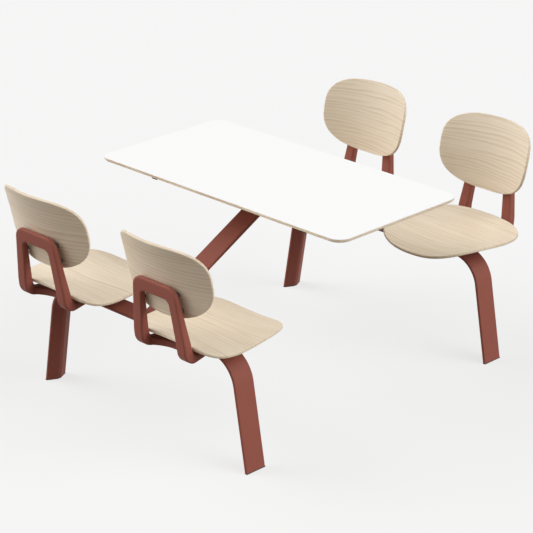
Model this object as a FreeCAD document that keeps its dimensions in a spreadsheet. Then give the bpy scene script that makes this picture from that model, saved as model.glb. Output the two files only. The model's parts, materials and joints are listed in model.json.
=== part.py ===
"""Four-seat table: a rectangular top on a bent-tube frame that carries four swivel seats.

Millimetres.  X runs along the table, Y across it, Z is up, and the origin is on the floor under the
middle of the top.  A seat is modelled about its own swivel axis, facing +Y, and is then placed.
"""
import FreeCAD
import Part
import Sketcher
import math
import os

Vector = FreeCAD.Vector
X_AXIS = Vector(1, 0, 0)
Y_AXIS = Vector(0, 1, 0)
Z_AXIS = Vector(0, 0, 1)

DIMENSIONS = {
    # table top
    "top_length": 1200,
    "top_width": 600,
    "top_height": 750,
    "top_corner": 50,
    "core_thickness": 11,
    "laminate_thickness": 1,
    "core_chamfer": 4,
    # rails under the top
    "rail_depth": 35,
    "rail_width": 25,
    "rail_wall": 2.5,
    "rail_spacing": 740,
    "rail_length": 478,
    "rail_cap": 3,
    "plug_length": 12,
    "rail_corner": 2,
    "spine_width": 60,
    "top_screw_spacing": 180,
    "top_screw_bite": 8,
    "screw_radius": 3,
    "screw_clearance": 3.3,
    "bolt_radius": 4,
    "bolt_head": 6.5,
    # bent tube of the benches and the arch
    "tube_width": 86,
    "tube_depth": 28,
    "tube_flange": 10,
    "tube_apex": 14,
    "tube_wall": 3,
    "tube_edge": 4,
    # benches
    "bench_spacing": 1220,
    "beam_height": 398,
    "foot_reach": 522.3,
    "leg_slope": 0.175,
    "leg_bend": 120,
    "glide_height": 3,
    # arch between the benches
    "arch_slope": 0.53,
    "arch_peak": 711.2,
    "arch_bend": 200,
    "saddle_length": 120,
    "crown_bolt_across": 26,
    "crown_bolt_along": 16,
    "crown_bolt_bite": 11,
    # swivel
    "seat_spacing": 600,
    "base_radius": 37,
    "base_thickness": 8,
    "base_edge": 1.5,
    "base_screw_circle": 28.5,
    "insert_radius": 4.5,
    "insert_length": 11,
    "spindle_radius": 12,
    "thread_radius": 10,
    "bearing_gap": 0.05,
    "bush_radius": 15,
    "bush_collar": 28,
    "bush_flange": 3,
    "hub_floor": 11,
    "washer_thickness": 1.5,
    "washer_radius": 19,
    "nut_height": 10,
    # cast carrier
    "arm_bottom": 415,
    "arm_thickness": 25,
    "post_front": 187.6,
    "post_front_lean": 0.18,
    "post_rear": 221,
    "post_rear_lean": 0.107,
    "loop_top": 685,
    "loop_knee": 480,
    "knee_round": 126,
    "loop_half_width": 124.5,
    "loop_half_top": 98,
    "loop_corner": 42,
    "window_half_foot": 81,
    "window_half_top": 64,
    "window_top": 636,
    "window_corner": 20,
    "cut_margin": 3,
    "bend_outside": 50,
    "bend_inside": 34,
    "web_front": 70,
    "web_rear": 148,
    "web_curve": 132.5,
    "web_half_front": 50,
    "web_half_hub": 70,
    "web_corner": 20,
    "web_bay_corner": 10,
    "arm_half_front": 105,
    "arm_neck": 106,
    "arm_root": 180,
    "hub_radius": 32,
    "hub_pocket": 23,
    "edge_round": 7,
    "seat_screw_rear_across": 60,
    "seat_screw_rear": 100,
    "seat_screw_front_across": 36,
    "seat_screw_front": 44,
    "seat_screw_bite": 7,
    "seat_pad_radius": 13,
    "back_stud_low_across": 88.5,
    "back_stud_low": 600,
    "back_stud_high_across": 82,
    "back_stud_high": 655,
    "back_stud_bite": 10,
    "back_pad_radius": 9,
    # moulded plywood
    "ply_thickness": 11,
    "seat_back": 185,
    "seat_front": 222,
    "seat_half_rear": 223.5,
    "seat_half_front": 213.5,
    "seat_rear_power": 4.3,
    "seat_front_power": 2.95,
    "seat_height": 456,
    "seat_low": 16,
    "dish_unit": 200,
    "seat_rear_rise": 25,
    "seat_front_drop": 20.5,
    "seat_side_rear": 19,
    "seat_side_front": 25,
    "rest_half_width": 206,
    "rest_middle": 709.4,
    "rest_above": 123,
    "rest_below": 146,
    "rest_offset": 223.2,
    "rest_unit": 100,
    "rest_lean": 0.268,
    "rest_bow": 6.2,
    "rest_wrap": 53.2,
    "rest_wrap_rise": 2.9,
    "rest_taper": 0.0166,
    "rest_high_power": 3.4,
    "rest_low_power": 2.55,
}


class Size:
    """A number together with the sheet formula that gives it."""

    def __init__(self, value, formula):
        self.value = value
        self.formula = formula

    @staticmethod
    def of(other):
        return other if isinstance(other, Size) else Size(float(other), repr(float(other)))

    def __add__(self, other):
        other = Size.of(other)
        return Size(self.value + other.value, f"({self.formula} + {other.formula})")

    def __sub__(self, other):
        other = Size.of(other)
        return Size(self.value - other.value, f"({self.formula} - {other.formula})")

    def __mul__(self, other):
        other = Size.of(other)
        return Size(self.value * other.value, f"({self.formula} * {other.formula})")

    def __truediv__(self, other):
        other = Size.of(other)
        return Size(self.value / other.value, f"({self.formula} / {other.formula})")

    def __neg__(self):
        return Size(-self.value, f"(0 - {self.formula})")


doc = FreeCAD.newDocument("SwivelSeatTable")
sheet = doc.addObject("Spreadsheet::Sheet", "Sizes")
for row, (alias, number) in enumerate(DIMENSIONS.items(), start=1):
    sheet.set(f"A{row}", alias)
    sheet.set(f"B{row}", str(number))
    sheet.setAlias(f"B{row}", alias)
doc.recompute()


def size(alias):
    """The sheet's size of that name."""
    return Size(float(sheet.get(alias)), f"Sizes.{alias}")


def root(amount):
    """The square root of a size."""
    return Size(math.sqrt(amount.value), f"sqrt({amount.formula})")


NEAR = 1e-4  # two points closer than this are one
SHARP = 45  # degrees between two faces from which an edge of the casting is rounded
OVAL_POINTS = 48
BEYOND = 44  # how far a rubber bar reaches before it is trimmed to its gap
ZERO = Size.of(0)
CORE_BOTTOM = size("top_height") - size("laminate_thickness") - size("core_thickness")
SEAT_NAMES = ("near_left", "near_right", "far_left", "far_right")
parts = []


# ---------------------------------------------------------------- modelling helpers

def new_body(label, placement=None):
    """A body for one sub-part, at its place in the table."""
    body = doc.addObject("PartDesign::Body", label)
    body.Label = label
    if placement:
        body.Placement = placement
    parts.append(body)
    return body


def new_sketch(body, plane, name, offset=None):
    """A sketch on one of the body's own origin planes, moved along its normal by a size."""
    sketch = body.newObject("Sketcher::SketchObject", f"{body.Name}_{name}")
    face = next(item for item in body.Origin.OriginFeatures if item.Role == plane)
    sketch.AttachmentSupport = [(face, "")]
    sketch.MapMode = "FlatFace"
    if offset:
        sketch.setExpression("AttachmentOffset.Base.z", offset.formula)
    return sketch


def bind(sketch, kind, arguments, amount):
    """A dimension of the sketch that follows a size."""
    index = sketch.addConstraint(Sketcher.Constraint(kind, *arguments, amount.value))
    sketch.setExpression(f"Constraints[{index}]", amount.formula)


def corner_points(corners):
    """Where each rounded corner starts and ends, and the middle of its arc."""
    result = []
    count = len(corners)
    for index, (across, up, radius) in enumerate(corners):
        here = Vector(across.value, up.value, 0)
        before = corners[index - 1]
        after = corners[(index + 1) % count]
        back = (Vector(before[0].value, before[1].value, 0) - here).normalize()
        ahead = (Vector(after[0].value, after[1].value, 0) - here).normalize()
        half = back.getAngle(ahead) / 2
        if radius is None:
            result.append((here, here, here))
            continue
        reach = radius.value / math.tan(half)
        centre = here + (back + ahead).normalize() * (radius.value / math.sin(half))
        crest = centre + (here - centre).normalize() * radius.value
        result.append((here + back * reach, here + ahead * reach, crest))
    return result


def draw_outline(sketch, corners):
    """A closed outline with (across, up, corner radius or None) sizes for each corner."""
    marks = corner_points(corners)
    count = len(corners)
    lines = []
    for index in range(count):
        line = Part.LineSegment(marks[index][1], marks[(index + 1) % count][0])
        lines.append(sketch.addGeometry(line, False))
    for index, (across, up, radius) in enumerate(corners):
        arriving = lines[index - 1]
        leaving = lines[index]
        if radius is None:
            sketch.addConstraint(Sketcher.Constraint("Coincident", arriving, 2, leaving, 1))
            bind(sketch, "DistanceX", (-1, 1, leaving, 1), across)
            bind(sketch, "DistanceY", (-1, 1, leaving, 1), up)
            continue
        start, end, crest = marks[index]
        arc = sketch.addGeometry(Part.Arc(start, crest, end), False)
        first = 1 if sketch.getPoint(arc, 1).distanceToPoint(start) < NEAR else 2
        sketch.addConstraint(Sketcher.Constraint("Tangent", arriving, 2, arc, first))
        sketch.addConstraint(Sketcher.Constraint("Tangent", arc, 3 - first, leaving, 1))
        bind(sketch, "Radius", (arc,), radius)
        corner = sketch.addGeometry(Part.Point(Vector(across.value, up.value, 0)), True)
        bind(sketch, "DistanceX", (-1, 1, corner, 1), across)
        bind(sketch, "DistanceY", (-1, 1, corner, 1), up)
        sketch.addConstraint(Sketcher.Constraint("PointOnObject", corner, 1, arriving))
        sketch.addConstraint(Sketcher.Constraint("PointOnObject", corner, 1, leaving))


def draw_circle(sketch, radius, across=ZERO, up=ZERO):
    """A circle of that radius, centred at two sizes."""
    circle = sketch.addGeometry(Part.Circle(Vector(across.value, up.value, 0), Z_AXIS, radius.value))
    bind(sketch, "Radius", (circle,), radius)
    bind(sketch, "DistanceX", (-1, 1, circle, 3), across)
    bind(sketch, "DistanceY", (-1, 1, circle, 3), up)


def mirrored(corners):
    """The corners of one side, then the same corners across the upright axis in reverse."""
    return corners + [(-across, up, radius) for across, up, radius in reversed(corners)]


def rectangle(half_width, low, high, radius=None):
    """The corners of an upright rectangle centred on the upright axis."""
    return mirrored([(half_width, low, radius), (half_width, high, radius)])


def pad(body, sketch, length, both_ways=False):
    """Material pushed out of the sketch by that length."""
    feature = body.newObject("PartDesign::Pad", f"{sketch.Name}_pad")
    feature.Profile = sketch
    feature.setExpression("Length", length.formula)
    feature.SideType = "Symmetric" if both_ways else "One side"
    return feature


def pocket(body, sketch, depth=None, along_normal=False):
    """Material cut away: right through both ways, or by a depth along the sketch's normal."""
    feature = body.newObject("PartDesign::Pocket", f"{sketch.Name}_cut")
    feature.Profile = sketch
    if depth is None:
        feature.Type = "ThroughAll"
        feature.SideType = "Symmetric"
    else:
        feature.Type = "Length"
        feature.setExpression("Length", depth.formula)
        feature.Reversed = along_normal
    return feature


def revolve(body, sketch):
    """A full turn about the sketch's own upright axis."""
    feature = body.newObject("PartDesign::Revolution", f"{sketch.Name}_turned")
    feature.Profile = sketch
    feature.ReferenceAxis = (sketch, ["V_Axis"])
    feature.Angle = 360
    return feature


def mirror_body(body, features, plane):
    """The features repeated on the other side of one of the body's planes."""
    copy = body.newObject("PartDesign::Mirrored", f"{body.Name}_mirror")
    face = next(item for item in body.Origin.OriginFeatures if item.Role == plane)
    copy.Originals = features
    copy.MirrorPlane = (face, [""])
    body.Tip = copy
    return copy


def seat_place(name):
    """Where the swivel axis of a seat stands, turned so that the seat faces the table."""
    side = 1 if "right" in name else -1
    far = "far" in name
    across = size("bench_spacing").value / 2
    turn = FreeCAD.Rotation(Z_AXIS, 180 if far else 0)
    return FreeCAD.Placement(Vector(side * size("seat_spacing").value / 2, across if far else -across, 0), turn)


def add_part(label, shape, placement=None):
    """A sub-part whose shape is made by Part's own functions."""
    feature = doc.addObject("Part::Feature", label)
    feature.Label = label
    feature.Shape = shape
    if placement:
        feature.Placement = placement
    parts.append(feature)
    return feature


# ---------------------------------------------------------------- table top

def make_top():
    """A plywood core with a chamfered lower edge, and the laminate bonded over it."""
    half_length = size("top_length") / 2
    half_width = size("top_width") / 2
    outline = rectangle(half_length, -half_width, half_width, size("top_corner"))
    core = new_body("tabletop_core")
    sketch = new_sketch(core, "XY_Plane", "outline", CORE_BOTTOM)
    draw_outline(sketch, outline)
    slab = pad(core, sketch, size("core_thickness"))
    doc.recompute()
    lowest = min(range(len(slab.Shape.Faces)), key=lambda n: slab.Shape.Faces[n].CenterOfMass.z)
    chamfer = core.newObject("PartDesign::Chamfer", "tabletop_core_edge")
    chamfer.Base = (slab, [f"Face{lowest + 1}"])
    chamfer.setExpression("Size", "Sizes.core_chamfer")
    sketch = new_sketch(core, "XY_Plane", "pilot_holes", CORE_BOTTOM)
    for across, along in top_screw_places():
        draw_circle(sketch, size("screw_radius"), across, along)
    pocket(core, sketch, size("top_screw_bite") + 1, along_normal=True)
    skin = new_body("tabletop_laminate")
    sketch = new_sketch(skin, "XY_Plane", "outline", CORE_BOTTOM + size("core_thickness"))
    draw_outline(sketch, outline)
    pad(skin, sketch, size("laminate_thickness"))


def top_screw_places():
    """Two screws up through each cross rail, and two through the spine."""
    rail = size("rail_spacing") / 2
    along = size("top_screw_spacing")
    ends = [(side, end) for side in (rail, -rail) for end in (along, -along)]
    return ends + [(along, ZERO), (-along, ZERO)]


# ---------------------------------------------------------------- rails under the top

def rail_section(half_width, wall=ZERO):
    """The corners of a rail's section, a wall's thickness inside its outline."""
    radius = size("rail_corner") if wall is ZERO else None
    low = CORE_BOTTOM - size("rail_depth")
    return rectangle(half_width - wall, low + wall, CORE_BOTTOM - wall, radius)


def make_rails():
    """Two cross rails with plugged ends, joined by the spine along the table."""
    wall = size("rail_wall")
    inside = size("rail_length") - size("rail_cap") * 2
    half = size("rail_width") / 2
    for name, side in (("left", -1), ("right", 1)):
        place = FreeCAD.Placement(Vector(side * size("rail_spacing").value / 2, 0, 0), FreeCAD.Rotation())
        rail = new_body(f"cross_rail_{name}", place)
        sketch = new_sketch(rail, "XZ_Plane", "section")
        draw_outline(sketch, rail_section(half))
        draw_outline(sketch, rail_section(half, wall))
        pad(rail, sketch, inside, both_ways=True)
        sketch = new_sketch(rail, "XY_Plane", "screw_holes")
        for end in (1, -1):
            draw_circle(sketch, size("screw_clearance"), ZERO, size("top_screw_spacing") * end)
        pocket(rail, sketch)
    spine = new_body("spine")
    sketch = new_sketch(spine, "YZ_Plane", "section")
    draw_outline(sketch, rail_section(size("spine_width") / 2))
    draw_outline(sketch, rail_section(size("spine_width") / 2, wall))
    pad(spine, sketch, size("rail_spacing") - size("rail_width"), both_ways=True)
    sketch = new_sketch(spine, "XY_Plane", "screw_holes")
    for end in (1, -1):
        draw_circle(sketch, size("screw_clearance"), size("top_screw_spacing") * end)
    for across, along in crown_bolt_places():
        draw_circle(sketch, size("bolt_radius"), across, along)
    pocket(spine, sketch)
    sketch = new_sketch(spine, "XY_Plane", "spanner_holes", CORE_BOTTOM)
    for across, along in crown_bolt_places():
        draw_circle(sketch, size("bolt_head") + 1, across, along)
    pocket(spine, sketch, wall * 2)
    make_rail_caps()


def make_rail_caps():
    """The plastic plugs in the four open rail ends, each a flange and a stem inside the tube."""
    half = size("rail_width").value / 2
    depth = size("rail_depth").value
    wall = size("rail_wall").value
    cap = size("rail_cap").value
    stem = size("plug_length").value
    low = CORE_BOTTOM.value - depth
    tip = size("rail_length").value / 2
    flange = Part.makeBox(2 * half, cap, depth, Vector(-half, tip - cap, low))
    corner = Vector(wall - half, tip - cap - stem, low + wall)
    plug = Part.makeBox(2 * (half - wall), stem, depth - 2 * wall, corner)
    one = flange.fuse(plug).removeSplitter()
    caps = []
    for side in (-1, 1):
        for turn in (0, 180):
            copy = one.copy()
            copy.rotate(Vector(), Z_AXIS, turn)
            copy.translate(X_AXIS * (side * size("rail_spacing").value / 2))
            caps.append(copy)
    add_part("rail_end_caps", Part.makeCompound(caps))


# ---------------------------------------------------------------- bent tube

def tube_section(top, wall=ZERO):
    """The tube's section: a flat face on top, short upright sides and two slopes to a narrow belly."""
    half = size("tube_width") / 2
    apex = size("tube_apex") / 2
    slope = (size("tube_depth") - size("tube_flange")) / (half - apex)
    lift = wall * root(slope * slope + 1)
    side = half - wall
    shoulder = lift - size("tube_flange") - slope * wall
    belly = wall - size("tube_depth")
    narrow = half + (belly + size("tube_flange") - lift) / slope
    edge = size("tube_edge")
    radii = (edge, edge, edge * 2) if wall is ZERO else (None, None, None)
    levels = ((side, -wall, radii[0]), (side, shoulder, radii[1]), (narrow, belly, radii[2]))
    return mirrored([(across, top + up, radius) for across, up, radius in levels])


def sweep(body, kind, section, path):
    """The section carried along every edge of the path."""
    feature = body.newObject(f"PartDesign::{kind}Pipe", f"{path.Name}_{kind}")
    feature.Profile = section
    drawn = [n for n in range(path.GeometryCount) if not path.getConstruction(n)]
    feature.Spine = (path, [f"Edge{n + 1}" for n in range(len(drawn))])
    return feature


def make_bench(name, side):
    """A flat-topped tube bent down at both ends into two splayed legs, cut level at the feet."""
    place = FreeCAD.Placement(Vector(0, side * size("bench_spacing").value / 2, 0), FreeCAD.Rotation())
    bench = new_body(f"bench_frame_{name}", place)
    top = size("beam_height")
    below = -size("tube_depth")
    reach = size("foot_reach")
    slope = size("leg_slope")
    path = new_sketch(bench, "XZ_Plane", "path")
    draw_path(path, (ZERO, top), (reach - slope * top, top), (reach - slope * below, below), size("leg_bend"))
    section = new_sketch(bench, "YZ_Plane", "section")
    draw_outline(section, tube_section(top))
    draw_outline(section, tube_section(top, size("tube_wall")))
    half = sweep(bench, "Additive", section, path)
    sketch = new_sketch(bench, "XZ_Plane", "floor_cut")
    draw_outline(sketch, foot_block(reach, below * 3))
    cut = pocket(bench, sketch)
    mirror_body(bench, [half, cut], "YZ_Plane")
    sketch = new_sketch(bench, "XY_Plane", "insert_holes", top)
    for across, along in base_screw_places():
        for end in (1, -1):
            draw_circle(sketch, size("insert_radius"), across + size("seat_spacing") * end / 2, along)
    pocket(bench, sketch, size("tube_wall") * 2)


def foot_block(reach, low):
    """A rectangle that holds all of one leg below the glide."""
    near = reach / 2
    far = reach * 1.5
    level = size("glide_height")
    return [(near, low, None), (far, low, None), (far, level, None), (near, level, None)]


def draw_path(sketch, start, bend, end, radius):
    """Two straight runs joined by one tangent bend."""
    marks = corner_points([(*start, None), (*bend, radius), (*end, None)])
    first = sketch.addGeometry(Part.LineSegment(marks[0][0], marks[1][0]), False)
    arc = sketch.addGeometry(Part.Arc(marks[1][0], marks[1][2], marks[1][1]), False)
    last = sketch.addGeometry(Part.LineSegment(marks[1][1], marks[2][0]), False)
    meeting = 1 if sketch.getPoint(arc, 1).distanceToPoint(marks[1][0]) < NEAR else 2
    sketch.addConstraint(Sketcher.Constraint("Tangent", first, 2, arc, meeting))
    sketch.addConstraint(Sketcher.Constraint("Tangent", arc, 3 - meeting, last, 1))
    bind(sketch, "Radius", (arc,), radius)
    corner = sketch.addGeometry(Part.Point(Vector(bend[0].value, bend[1].value, 0)), True)
    sketch.addConstraint(Sketcher.Constraint("PointOnObject", corner, 1, first))
    sketch.addConstraint(Sketcher.Constraint("PointOnObject", corner, 1, last))
    for point, place in (((first, 1), start), ((corner, 1), bend), ((last, 2), end)):
        bind(sketch, "DistanceX", (-1, 1, *point), place[0])
        bind(sketch, "DistanceY", (-1, 1, *point), place[1])


def make_glides():
    """A plastic foot in the open end of each leg: a sole and a plug inside the tube."""
    slope = size("leg_slope").value
    stretch = math.hypot(1, slope)
    sole = size("glide_height").value
    plug = sole + size("plug_length").value
    for name in SEAT_NAMES:
        shapes = []
        for inset, low, high in ((ZERO, 0, sole), (size("tube_wall") + 1, sole, plug)):
            corners = tube_section(ZERO, inset)
            outline = [Vector(up.value * stretch, across.value, 0) for across, up, radius in corners]
            face = Part.Face(Part.makePolygon(outline + outline[:1]))
            face.translate(Vector(size("foot_reach").value - slope * low, 0, low))
            shapes.append(face.extrude(Vector(slope * (low - high), 0, high - low)))
        glide = shapes[0].fuse(shapes[1]).removeSplitter()
        if "left" in name:
            glide = glide.mirror(Vector(), X_AXIS)
        side = 1 if "far" in name else -1
        add_part(f"foot_glide_{name}", glide, at(0, side * size("bench_spacing").value / 2, 0))


# ---------------------------------------------------------------- arch between the benches

def crown_height():
    """The top of the arch, where its bend meets the middle of the table."""
    slope = size("arch_slope")
    return size("arch_peak") - size("arch_bend") * (root(slope * slope + 1) - 1)


def draw_arch_path(sketch, reach):
    """From the crown round half of its bend, then straight down to the given reach."""
    slope = size("arch_slope")
    bend = size("arch_bend")
    crown = crown_height()
    stretch = root(slope * slope + 1)
    end = (reach, size("arch_peak") - slope * reach)
    tangent = Vector((bend * slope / stretch).value, (crown - bend + bend / stretch).value, 0)
    lean = math.atan(slope.value) / 2
    middle = Vector(bend.value * math.sin(lean), crown.value - bend.value * (1 - math.cos(lean)), 0)
    arc = sketch.addGeometry(Part.Arc(Vector(0, crown.value, 0), middle, tangent), False)
    line = sketch.addGeometry(Part.LineSegment(tangent, Vector(end[0].value, end[1].value, 0)), False)
    meeting = 1 if sketch.getPoint(arc, 1).distanceToPoint(tangent) < NEAR else 2
    sketch.addConstraint(Sketcher.Constraint("Tangent", arc, meeting, line, 1))
    sketch.addConstraint(Sketcher.Constraint("PointOnObject", arc, 3 - meeting, -2))
    sketch.addConstraint(Sketcher.Constraint("PointOnObject", arc, 3, -2))
    bind(sketch, "Radius", (arc,), bend)
    bind(sketch, "DistanceX", (-1, 1, line, 2), end[0])
    bind(sketch, "DistanceY", (-1, 1, line, 2), end[1])


def make_arch():
    """One bent tube that rises from both benches to the middle of the top, coped over the beams."""
    arch = new_body("arch_tube")
    crown = crown_height()
    bench = size("bench_spacing") / 2
    beam = size("beam_height")
    path = new_sketch(arch, "YZ_Plane", "path")
    draw_arch_path(path, bench)
    section = new_sketch(arch, "XZ_Plane", "section")
    draw_outline(section, tube_section(crown))
    half = sweep(arch, "Additive", section, path)
    inner_path = new_sketch(arch, "YZ_Plane", "inner_path")
    draw_arch_path(inner_path, bench - size("tube_width"))
    hollow = new_sketch(arch, "XZ_Plane", "hollow")
    draw_outline(hollow, tube_section(crown, size("tube_wall")))
    bore = sweep(arch, "Subtractive", hollow, inner_path)
    cope = new_sketch(arch, "YZ_Plane", "cope")
    inner = bench - size("tube_width") / 2
    belly = bench - size("tube_apex") / 2
    outer = bench + size("tube_width")
    low = beam - size("tube_depth")
    draw_outline(cope, [
        (inner, beam, None),
        (inner, beam - size("tube_flange"), None),
        (belly, low, None),
        (belly, low - size("tube_width"), None),
        (outer, low - size("tube_width"), None),
        (outer, beam, None),
    ])
    cut = pocket(arch, cope)
    mirror_body(arch, [half, bore, cut], "XZ_Plane")


def crown_bolt_places():
    """Four bolts from the spine down into the saddle."""
    across = size("crown_bolt_across")
    along = size("crown_bolt_along")
    return [(across * a, along * b) for a in (1, -1) for b in (1, -1)]


def make_saddle():
    """The block welded on the arch's crown: flat above for the spine, hollowed below to the bend."""
    saddle = new_body("arch_saddle")
    top = CORE_BOTTOM - size("rail_depth")
    half = size("saddle_length") / 2
    bend = size("arch_bend")
    centre = crown_height() - bend
    foot = centre + root(bend * bend - half * half)
    sketch = new_sketch(saddle, "YZ_Plane", "outline")
    corners = [Vector(y.value, z.value, 0) for y, z in ((half, foot), (half, top), (-half, top), (-half, foot))]
    lines = [sketch.addGeometry(Part.LineSegment(corners[n], corners[n + 1]), False) for n in range(3)]
    crest = Vector(0, crown_height().value, 0)
    arc = sketch.addGeometry(Part.Arc(corners[3], crest, corners[0]), False)
    left = 1 if sketch.getPoint(arc, 1).distanceToPoint(corners[3]) < NEAR else 2
    for first, second in ((lines[0], lines[1]), (lines[1], lines[2])):
        sketch.addConstraint(Sketcher.Constraint("Coincident", first, 2, second, 1))
    sketch.addConstraint(Sketcher.Constraint("Coincident", lines[2], 2, arc, left))
    sketch.addConstraint(Sketcher.Constraint("Coincident", arc, 3 - left, lines[0], 1))
    for line in (lines[0], lines[2]):
        sketch.addConstraint(Sketcher.Constraint("Vertical", line))
    bind(sketch, "Radius", (arc,), bend)
    bind(sketch, "DistanceX", (-1, 1, lines[1], 1), half)
    bind(sketch, "DistanceY", (-1, 1, lines[1], 1), top)
    bind(sketch, "DistanceX", (-1, 1, lines[1], 2), -half)
    bind(sketch, "DistanceY", (-1, 1, lines[1], 2), top)
    bind(sketch, "DistanceY", (-1, 1, lines[0], 1), foot)
    pad(saddle, sketch, size("tube_width"), both_ways=True)
    sketch = new_sketch(saddle, "XY_Plane", "tapped_holes", top)
    for across, along in crown_bolt_places():
        draw_circle(sketch, size("bolt_radius"), across, along)
    pocket(saddle, sketch, size("crown_bolt_bite") + 1)


# ---------------------------------------------------------------- fasteners

def turned(profile):
    """A solid turned about the upright axis from (radius, height) pairs."""
    points = [Vector(radius, 0, height) for radius, height in profile]
    return Part.Face(Part.makePolygon(points + points[:1])).revolve(Vector(), Z_AXIS, 360)


def hexagon(across_flats, low, high):
    """A six-sided prism."""
    corner = across_flats / math.sqrt(3)
    sixth = math.pi / 3
    points = [Vector(corner * math.cos(n * sixth), corner * math.sin(n * sixth), low) for n in range(7)]
    return Part.Face(Part.makePolygon(points)).extrude(Z_AXIS * (high - low))


def socket_screw(head, head_height, shank, length, key):
    """A screw whose head sits on the plane z = 0, with its shank below and a hexagon socket."""
    body = turned([(0, -length), (shank, -length), (shank, 0), (head, 0), (head, head_height), (0, head_height)])
    return body.cut(hexagon(key, head_height / 2, head_height + 1))


def countersunk_screw(head, head_height, shank, length, key):
    """A screw whose flush head ends at the plane z = 0."""
    body = turned([(0, -length), (shank, -length), (shank, -head_height), (head, 0), (0, 0)])
    return body.cut(hexagon(key, -head_height / 2, 1))


def copies(shape, places):
    """The same shape at every place, as one group of separate solids."""
    group = []
    for place in places:
        copy = shape.copy()
        copy.Placement = place
        group.append(copy)
    return Part.makeCompound(group)


def at(across, along, up):
    """A placement that only moves."""
    return FreeCAD.Placement(Vector(across, along, up), FreeCAD.Rotation())


def make_frame_fasteners():
    """The screws that hold the top, the bolts of the saddle, and the base screws in their inserts."""
    screw = size("screw_radius").value
    rail_bottom = (CORE_BOTTOM - size("rail_depth")).value
    bite = size("top_screw_bite").value
    top_screw = socket_screw(2 * screw, screw, screw, size("rail_depth").value + bite, screw)
    flip = FreeCAD.Rotation(X_AXIS, 180)
    places = [FreeCAD.Placement(Vector(x.value, y.value, rail_bottom), flip) for x, y in top_screw_places()]
    add_part("top_screws", copies(top_screw, places))
    bolt = size("bolt_radius").value
    wall = size("rail_wall").value
    crown_bolt = socket_screw(size("bolt_head").value, bolt * 2, bolt, wall + size("crown_bolt_bite").value, bolt)
    places = [at(x.value, y.value, rail_bottom + wall) for x, y in crown_bolt_places()]
    add_part("saddle_bolts", copies(crown_bolt, places))
    beam = size("beam_height").value
    base = size("base_thickness").value
    head = screw * 2
    slope = head - size("screw_clearance").value
    insert = size("insert_length").value
    base_screw = countersunk_screw(head, slope, screw, base + insert - 1, screw)
    sleeve = turned([(screw, -insert), (size("insert_radius").value, -insert),
                     (size("insert_radius").value, 0), (screw, 0)])
    screws = []
    sleeves = []
    for name in SEAT_NAMES:
        for across, along in base_screw_places():
            local = Vector(across.value, along.value, 0)
            spot = seat_place(name).multVec(local)
            screws.append(at(spot.x, spot.y, beam + base))
            sleeves.append(at(spot.x, spot.y, beam))
    add_part("base_screws", copies(base_screw, screws))
    add_part("base_inserts", copies(sleeve, sleeves))


# ---------------------------------------------------------------- swivel

def base_screw_places():
    """Four screws on a circle about the swivel axis, on its diagonals."""
    offset = size("base_screw_circle") / root(Size.of(2))
    return [(offset * a, offset * b) for a in (1, -1) for b in (1, -1)]


def make_swivel(name):
    """A flanged spindle screwed to the beam, and the flanged bush that turns on it."""
    base = new_body(f"swivel_base_{name}", seat_place(name))
    beam = size("beam_height")
    top = beam + size("base_thickness")
    seat = size("arm_bottom") + size("hub_floor")
    nut_face = seat + size("washer_thickness")
    end = nut_face + size("nut_height") + 2
    rim = size("base_radius")
    spindle = size("spindle_radius")
    thread = size("thread_radius")
    sketch = new_sketch(base, "XZ_Plane", "profile")
    draw_outline(sketch, [
        (ZERO, beam, None),
        (rim, beam, None),
        (rim, top, size("base_edge")),
        (spindle, top, None),
        (spindle, nut_face, None),
        (thread, nut_face, None),
        (thread, end, None),
        (ZERO, end, None),
    ])
    revolve(base, sketch)
    sketch = new_sketch(base, "XY_Plane", "screw_holes", top)
    for across, along in base_screw_places():
        draw_circle(sketch, size("screw_clearance"), across, along)
    drilled = pocket(base, sketch, size("base_thickness") * 2)
    doc.recompute()
    chamfer = base.newObject("PartDesign::Chamfer", f"{base.Name}_countersinks")
    chamfer.Base = (drilled, hole_edges(drilled.Shape, size("screw_clearance").value, top.value))
    chamfer.setExpression("Size", "Sizes.screw_radius * 2 - Sizes.screw_clearance")
    bush = new_body(f"swivel_bush_{name}", seat_place(name))
    bore = spindle + size("bearing_gap")
    collar = top + size("bush_flange")
    sketch = new_sketch(bush, "XZ_Plane", "profile")
    draw_outline(sketch, [
        (bore, top, None),
        (size("bush_collar"), top, None),
        (size("bush_collar"), collar, None),
        (size("bush_radius"), collar, None),
        (size("bush_radius"), seat, None),
        (bore, seat, None),
    ])
    revolve(bush, sketch)


def hole_edges(shape, radius, height):
    """The names of the round edges of that radius at that height."""
    names = []
    for number, edge in enumerate(shape.Edges, start=1):
        curve = edge.Curve
        if not isinstance(curve, Part.Circle):
            continue
        if abs(curve.Radius - radius) < NEAR and abs(curve.Center.z - height) < NEAR:
            names.append(f"Edge{number}")
    return names


def make_swivel_nuts():
    """A washer and a nut on each spindle, inside the hub's pocket."""
    seat = (size("arm_bottom") + size("hub_floor")).value
    thickness = size("washer_thickness").value
    height = size("nut_height").value
    thread = size("thread_radius").value
    spindle = size("spindle_radius").value
    rim = size("washer_radius").value
    washer = turned([(spindle, 0), (rim, 0), (rim, thickness), (spindle, thickness)])
    nut = hexagon(thread * 3, 0, height).cut(Part.makeCylinder(thread, height))
    spots = [seat_place(name).Base for name in SEAT_NAMES]
    add_part("swivel_washers", copies(washer, [at(spot.x, spot.y, seat) for spot in spots]))
    add_part("swivel_nuts", copies(nut, [at(spot.x, spot.y, seat + thickness) for spot in spots]))


# ---------------------------------------------------------------- cast carrier

def front_plane(height):
    """How far behind the swivel axis the front of the posts stands at that height."""
    return size("post_front") + size("post_front_lean") * (height - size("loop_knee"))


def rear_plane(height):
    """How far behind the swivel axis the back of the posts stands at that height."""
    return size("post_rear") + size("post_rear_lean") * (height - size("loop_knee"))


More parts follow.
